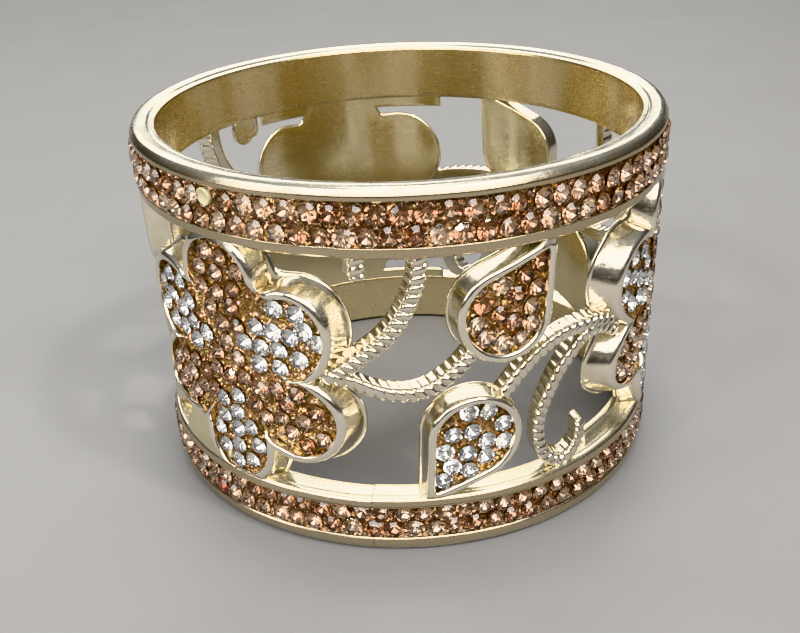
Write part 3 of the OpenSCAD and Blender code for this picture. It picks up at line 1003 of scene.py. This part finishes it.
def tint_group():
    """A stone's own colour by its tint: from pale at 0 to deep at 0.8, and the odd colour at 1."""
    inputs = {"Pale": COLOUR, "Deep": COLOUR, "Odd": COLOUR}
    tree, given, out = group("stone_tint", inputs, {"Color": COLOUR})
    own = node(tree, "Attribute", attribute_name="tint").outputs["Fac"]
    usual = mixed(tree, ramp(tree, own, 0.0, 0.8), given["Pale"], given["Deep"])
    feed(out, {"Color": mixed(tree, ramp(tree, own, 0.85, 0.95), usual, given["Odd"])})
    return tree


def stone_material(name, pale, deep, odd):
    """A material that takes its base colour from each stone's tint."""
    material, tree, shader = new_material(name)
    tint = node(tree, "Group", {"Pale": pale, "Deep": deep, "Odd": odd}, node_tree=TINT)
    feed(shader, {"Base Color": tint.outputs["Color"]})
    return material, shader


def gem(name, pale, deep, odd=WHITE):
    """Clear or tinted glass for a stone's crown."""
    material, shader = stone_material(name, pale, deep, odd)
    feed(shader, {"Transmission Weight": 1.0, "Roughness": 0.02, "IOR": 1.56})
    return material


def foil(name, pale, deep, roughness, odd=WHITE):
    """Bright foil on the back of a stone."""
    material, shader = stone_material(name, pale, deep, odd)
    feed(shader, {"Metallic": 1.0, "Roughness": roughness})
    return material


def glue(name, tone, shadow):
    """Hardened glue in the seat of a lost stone: patches of two tones and a faint relief."""
    material, tree, shader = new_material(name)
    patches = noise(tree, own_place(tree), 1500.0, 3.0)
    feed(shader, {"Base Color": mixed(tree, patches, shadow, tone), "Roughness": 0.35,
                  "Normal": bumpy(tree, patches, 0.4)})
    return material


CASTING = casting_group()
GLITTER = glitter_group()
TINT = tint_group()
INSIDE = colour(0.795, 0.67, 0.415)
CUP_INSIDE = colour(0.85, 0.75, 0.50)
ROPE_TONE = colour(0.84, 0.79, 0.67)
# The slope's paler, yellower copy of the gold is the gold's tone with painted highlight: the bright
# reflection its face catches
SLOPE_HIGHLIGHT_TONE = colour(0.95, 0.88, 0.62)
# The rings' bright tone, whiter than the cups', is partly the plating's pale tone and partly painted
# highlight on the bead
# The rings' fourth colour, the dark tone of their outermost lips, is painted shade: the reflection of the
# dark floor
RING_GOLD = metal("ring_gold", colour(0.95, 0.92, 0.80), colour(0.85, 0.79, 0.63), INSIDE,
                  colour(0.56, 0.47, 0.33), 0.2, 0.29)
CUP_GOLD = metal("cup_gold", colour(0.89, 0.83, 0.69), colour(0.79, 0.71, 0.54), CUP_INSIDE,
                 colour(0.88, 0.82, 0.70), 0.12, 0.26)
ROPE_GOLD = metal("rope_gold", ROPE_TONE, colour(0.74, 0.67, 0.52), INSIDE, ROPE_TONE, 0.1, 0.22)
SLOPE_HIGHLIGHT_GOLD = metal("slope_gold", SLOPE_HIGHLIGHT_TONE, colour(0.88, 0.80, 0.54), INSIDE, SLOPE_HIGHLIGHT_TONE, 0.28, 0.42, 0.1)
PASTE = paste("glitter_paste", colour(0.22, 0.10, 0.03), colour(0.88, 0.66, 0.35))
BAND_PASTE = paste("dark_paste", colour(0.12, 0.05, 0.025), colour(0.80, 0.58, 0.32))
PEACH = [
    gem("peach_glass", colour(1.0, 0.955, 0.91), colour(0.93, 0.82, 0.72), colour(0.95, 0.6, 0.5)),
    foil("peach_foil", colour(0.92, 0.79, 0.66), colour(0.58, 0.40, 0.28), 0.15, colour(0.7, 0.3, 0.22)),
]
CLEAR = [
    gem("clear_glass", WHITE, colour(0.97, 0.975, 0.98)),
    foil("clear_foil", colour(0.98, 0.975, 0.96), colour(0.88, 0.88, 0.88), 0.2),
]
SEAT = glue("pale_glue", colour(0.84, 0.78, 0.54), colour(0.60, 0.50, 0.28))

# The bangle

add_piece("lower_ring", [ring(0)], RING_GOLD, ["frame"])
add_piece("upper_ring", [ring(1)], RING_GOLD, ["frame"])
add_piece("empty_setting", [empty_seat()], SEAT, ["top_band"])
for side, azimuth in FLOWERS.items():
    leaves = leaf_cup(NEXT[side] - PEACH_LEAF_TURN, 1) + leaf_cup(azimuth + CLEAR_LEAF_TURN, -1)
    ropes = vines(side)
    if side == "front":
        # The slope wears a brightened copy of the gold, painted highlight over the plating's tone
        add_piece("front_flower_slope", [slope(azimuth)], SLOPE_HIGHLIGHT_GOLD, ["frame"])
    if side == "back":
        ropes.append(hook_foot(azimuth + HOOKED[-1][0]))
    add_piece(side + "_flower_cup", flower_cup(side), CUP_GOLD, ["frame"])
    add_piece(side + "_leaf_cups", leaves, CUP_GOLD, ["frame"])
    add_piece(side + "_vines", ropes, ROPE_GOLD, ["frame"])

for upper, band in enumerate(("bottom_band", "top_band")):
    *places, red = band_places(upper)
    stones = set_stones(*places, BAND_STONE_R, 4.5, BAND_TURN_SEED + upper, red)
    add_piece(band + "_paste", [band_paste(upper)], BAND_PASTE, [band])
    stone_piece(band + "_stones", stones, "peach", [band])

for n, (side, azimuth) in enumerate(FLOWERS.items()):
    peach = [petal_stones(places + [[CORE[0], 0]], turn) for turn, places in PEACH_PETALS.items()]
    peach = np.concatenate(peach + [petal_stones([[CORE[1], 0]], turn) for turn in CLEAR_PETALS])
    clear = np.concatenate([petal_stones(places, turn) for turn, places in CLEAR_PETALS.items()])
    glitter = flower_paste(azimuth, np.concatenate([peach, clear]))
    add_piece(side + "_flower_glitter", [glitter], PASTE, [side + "_flower_paste"])
    peach_leaf = ("peach", NEXT[side] - PEACH_LEAF_TURN, 1, PEACH_LEAF)
    clear_leaf = ("clear", azimuth + CLEAR_LEAF_TURN, -1, CLEAR_LEAF)
    for kind, where, way, own in (peach_leaf, clear_leaf):
        leaf = side + "_" + kind + "_leaf"
        places = np.array([0, leaf_middle(way)]) + way * np.array(own)
        stones = motif_stones(where, places, LEAF_SEED + 7 * n + way)
        add_piece(leaf + "_glitter", [leaf_paste(where, way, places)], PASTE, [leaf + "_paste"])
        stone_piece(leaf + "_stones", stones, kind, [leaf + "_paste"])
    for kind, places, seed in (("peach", peach, PEACH_SEED), ("clear", clear, CLEAR_SEED)):
        stones = motif_stones(azimuth, places, seed + n)
        stone_piece(side + "_" + kind + "_petal_stones", stones, kind, [side + "_" + kind + "_stones"])

# Stage, light and camera


def floor():
    """A pale matt floor with a faint mottle."""
    half = 1.5
    mesh = bpy.data.meshes.new("floor")
    corners = [(-half, -half, 0), (half, -half, 0), (half, half, 0), (-half, half, 0)]
    mesh.from_pydata(corners, [], [(0, 1, 2, 3)])
    material, tree, shader = new_material("pale_floor")
    mottle = noise(tree, own_place(tree), 40.0, 5.0)
    tone = mixed(tree, mottle, colour(0.20, 0.197, 0.193), colour(0.23, 0.227, 0.223))
    feed(shader, {"Base Color": tone, "Roughness": 0.6})
    mesh.materials.append(material)
    obj = new_object("floor", mesh)


def lamp(name, at, size, power, tone):
    """A rectangular soft light at a place, turned to the bangle's middle."""
    data = bpy.data.lights.new(name, "AREA")
    data.shape = "RECTANGLE"
    data.size, data.size_y = size
    data.energy = power
    data.color = tone
    obj = new_object(name, data)
    obj.location = at
    obj.rotation_mode = "QUATERNION"
    obj.rotation_quaternion = (Vector((0, 0, MID_Z * MM)) - Vector(at)).to_track_quat("-Z", "Y")


def camera():
    """The photograph's view, found by fitting a camera to the edges of both rings."""
    data = bpy.data.cameras.new("camera")
    data.sensor_width = 36.0
    data.lens = FOCAL_PX * data.sensor_width / PHOTO_W
    data.shift_x = -(AHEAD_X - PHOTO_W / 2) / PHOTO_W
    data.shift_y = (AHEAD_Y - PHOTO_H / 2) / PHOTO_W
    data.clip_start, data.clip_end = 0.01, 10
    obj = new_object("camera", data)
    tilt = Euler((math.radians(90 - CAMERA_DOWN), 0, 0)).to_matrix()
    turn = tilt @ Matrix.Rotation(math.radians(CAMERA_ROLL), 3, "Z")
    obj.matrix_world = Matrix.Translation(CAMERA_AT) @ turn.to_4x4()
    SCENE.camera = obj


def world():
    """Soft grey surroundings, brighter overhead."""
    sky = bpy.data.worlds.new("studio")
    SCENE.world = sky
    sky.use_nodes = True
    tree = sky.node_tree
    way = node(tree, "TexCoord").outputs["Generated"]
    up = node(tree, "SeparateXYZ", {0: way}).outputs[2]
    shades = node(tree, "ValToRGB", {0: ramp(tree, up, -1.0, 1.0)})
    stops = shades.color_ramp.elements
    stops[0].position, stops[0].color = 0.45, colour(0.10, 0.095, 0.09)
    stops[1].position, stops[1].color = 0.9, colour(0.56, 0.56, 0.56)
    stops.new(0.6).color = colour(0.16, 0.155, 0.15)
    feed(tree.nodes["Background"].inputs, {"Color": shades.outputs[0], "Strength": 0.6})


floor()
# Each lamp: its name, place and size in metres, power in watts and tone
lamp("back_window", (-0.1, 0.75, 0.5), (1.0, 0.4), 4.2, (1.0, 0.99, 0.975))
lamp("front_ceiling", (0.1, -0.5, 0.6), (0.9, 0.35), 9.0, (1.0, 0.98, 0.96))
lamp("overhead", (0.0, 0.06, 0.9), (0.22, 0.22), 3.0, (1.0, 0.985, 0.96))
lamp("spot_left", (-0.35, -0.4, 0.5), (0.05, 0.05), 1.0, (1.0, 0.97, 0.93))
lamp("spot_right", (0.3, -0.25, 0.6), (0.05, 0.05), 1.5, (1.0, 0.97, 0.93))
lamp("left_window", (-0.5, -0.25, 0.3), (0.2, 0.3), 1.2, (1.0, 0.99, 0.975))
camera()
world()
SCENE.view_settings.view_transform = "Khronos PBR Neutral"
SCENE.view_settings.look = "None"
SCENE.cycles.caustics_reflective = False
SCENE.cycles.caustics_refractive = False
